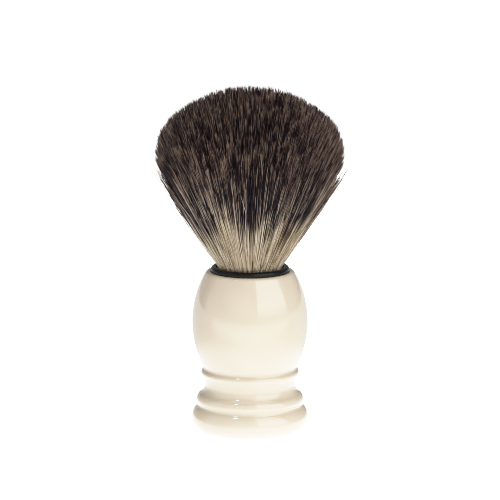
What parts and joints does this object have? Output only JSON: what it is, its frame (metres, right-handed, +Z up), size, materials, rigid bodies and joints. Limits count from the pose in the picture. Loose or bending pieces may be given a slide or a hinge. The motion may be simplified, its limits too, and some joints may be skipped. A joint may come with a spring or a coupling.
{
  "type": "shaving brush",
  "caption": "Shaving brush: turned cream handle with a weighted foot, black collar, and a bulb of badger hair that bends from side to side.",
  "frame": {"origin": "centre of the flat underside, where the brush stands", "axes": "+Z up along the axis of the brush, from the foot to the hair tips; +X is the way the tuft bends"},
  "size_m": [0.0606, 0.0606, 0.1072],
  "materials": {
    "cream_resin": "gloss",
    "collar_black": "gloss",
    "badger_hair": "matte",
    "root_hair": "matte",
    "epoxy": "gloss",
    "cotton_thread": "matte",
    "ballast_steel": "satin",
    "white_glue": "matte"
  },
  "bodies": {
    "handle": {"handle_shell": "cream_resin", "handle_foot": "cream_resin", "base_disc": "cream_resin", "ballast_weight": "ballast_steel", "knot_collar": "collar_black", "socket_adhesive": "white_glue", "glue_plug": "epoxy", "binding_thread": "cotton_thread", "hair_root": "root_hair"},
    "tuft": {"hair_tuft": "badger_hair"}
  },
  "joints": [
    {"name": "tuft_bend", "type": "hinge", "parent": "handle", "child": "tuft", "pos_m": [0, 0, 0.0604], "axis": [0, 1, 0], "range_deg": [-35, 35], "stiffness_Nm_per_rad": 0.05}
  ]
}
